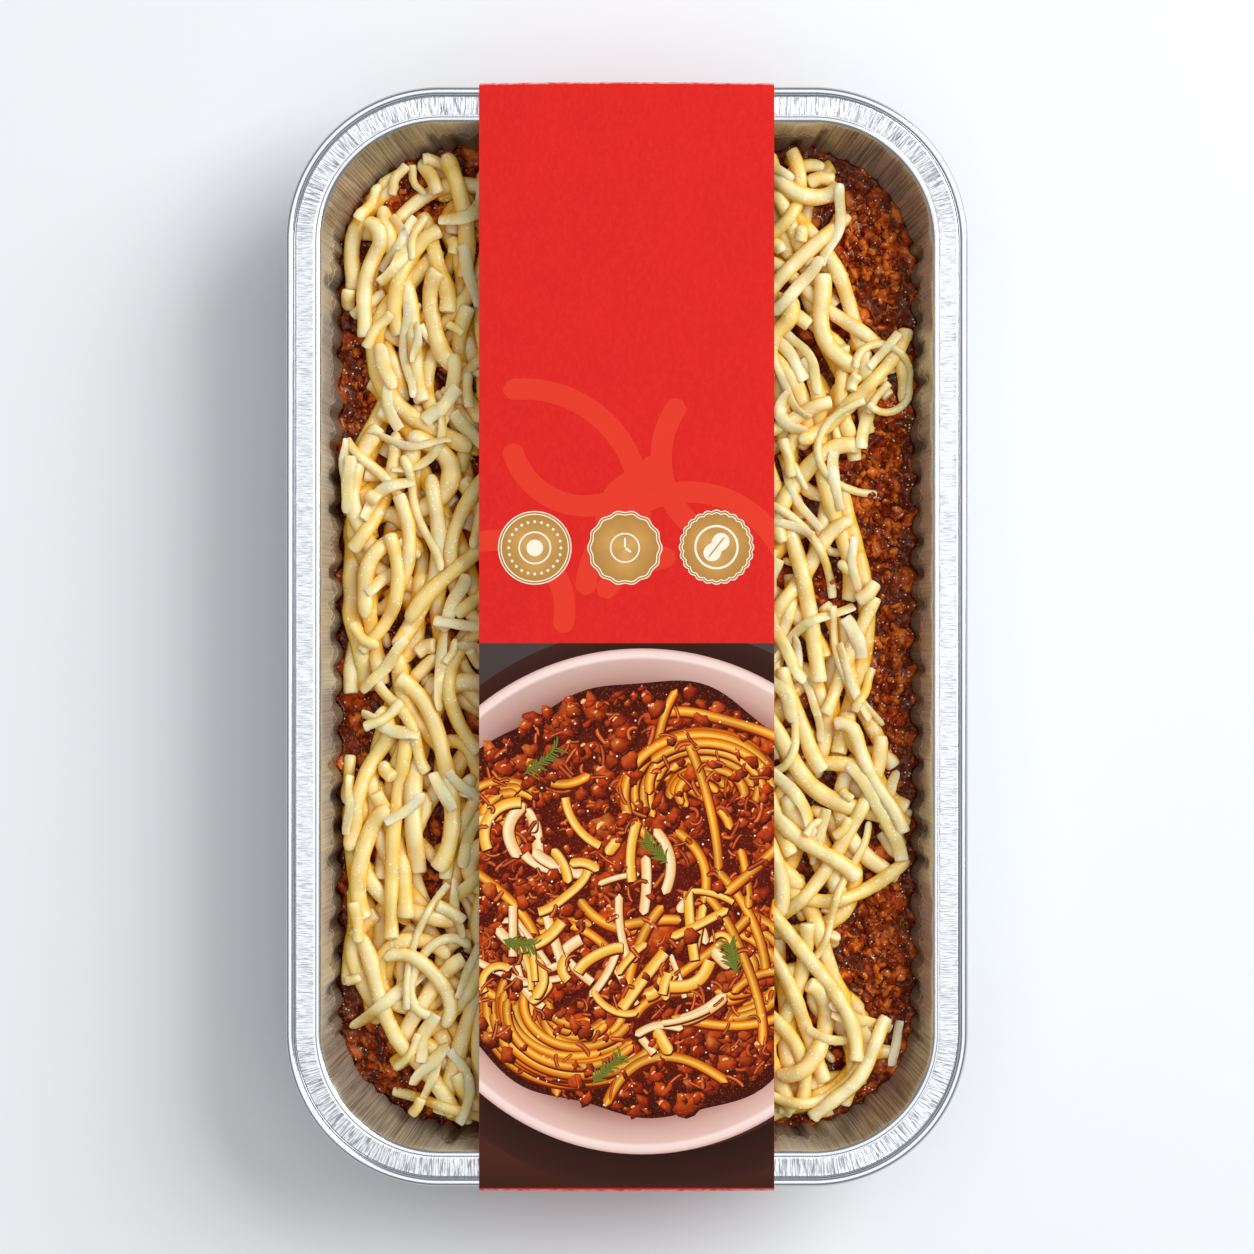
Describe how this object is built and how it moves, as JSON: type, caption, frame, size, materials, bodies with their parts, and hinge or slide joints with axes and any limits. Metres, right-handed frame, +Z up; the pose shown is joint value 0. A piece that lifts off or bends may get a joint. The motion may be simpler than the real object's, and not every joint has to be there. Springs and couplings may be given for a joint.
{
  "type": "foil tray meal",
  "caption": "Ready meal in a long foil tray: meat sauce under a heap of shredded cheese, with a red printed board sleeve lengthwise round the tray.",
  "frame": {"origin": "on the plane that the tray's sleeve stands on, under the middle of the tray", "axes": "+Z up out of the tray, +Y along its long side towards the red end of the sleeve's top, +X across it"},
  "size_m": [0.1986, 0.3232, 0.0466],
  "materials": {
    "foil": "bright, finely crimped and wrinkled aluminium foil",
    "sauce": "dark red-brown meat sauce, wet, lumpy with mince",
    "cheese": "pale yellow shredded cheese, slightly translucent, frosted with fine white specks",
    "printed_board": "thin red printed board with a soft sheen"
  },
  "bodies": {
    "root": {"foil_tray": "foil", "meat_sauce": "sauce", "cheese_shreds": "cheese", "board_sleeve": "printed_board"}
  },
  "joints": []
}
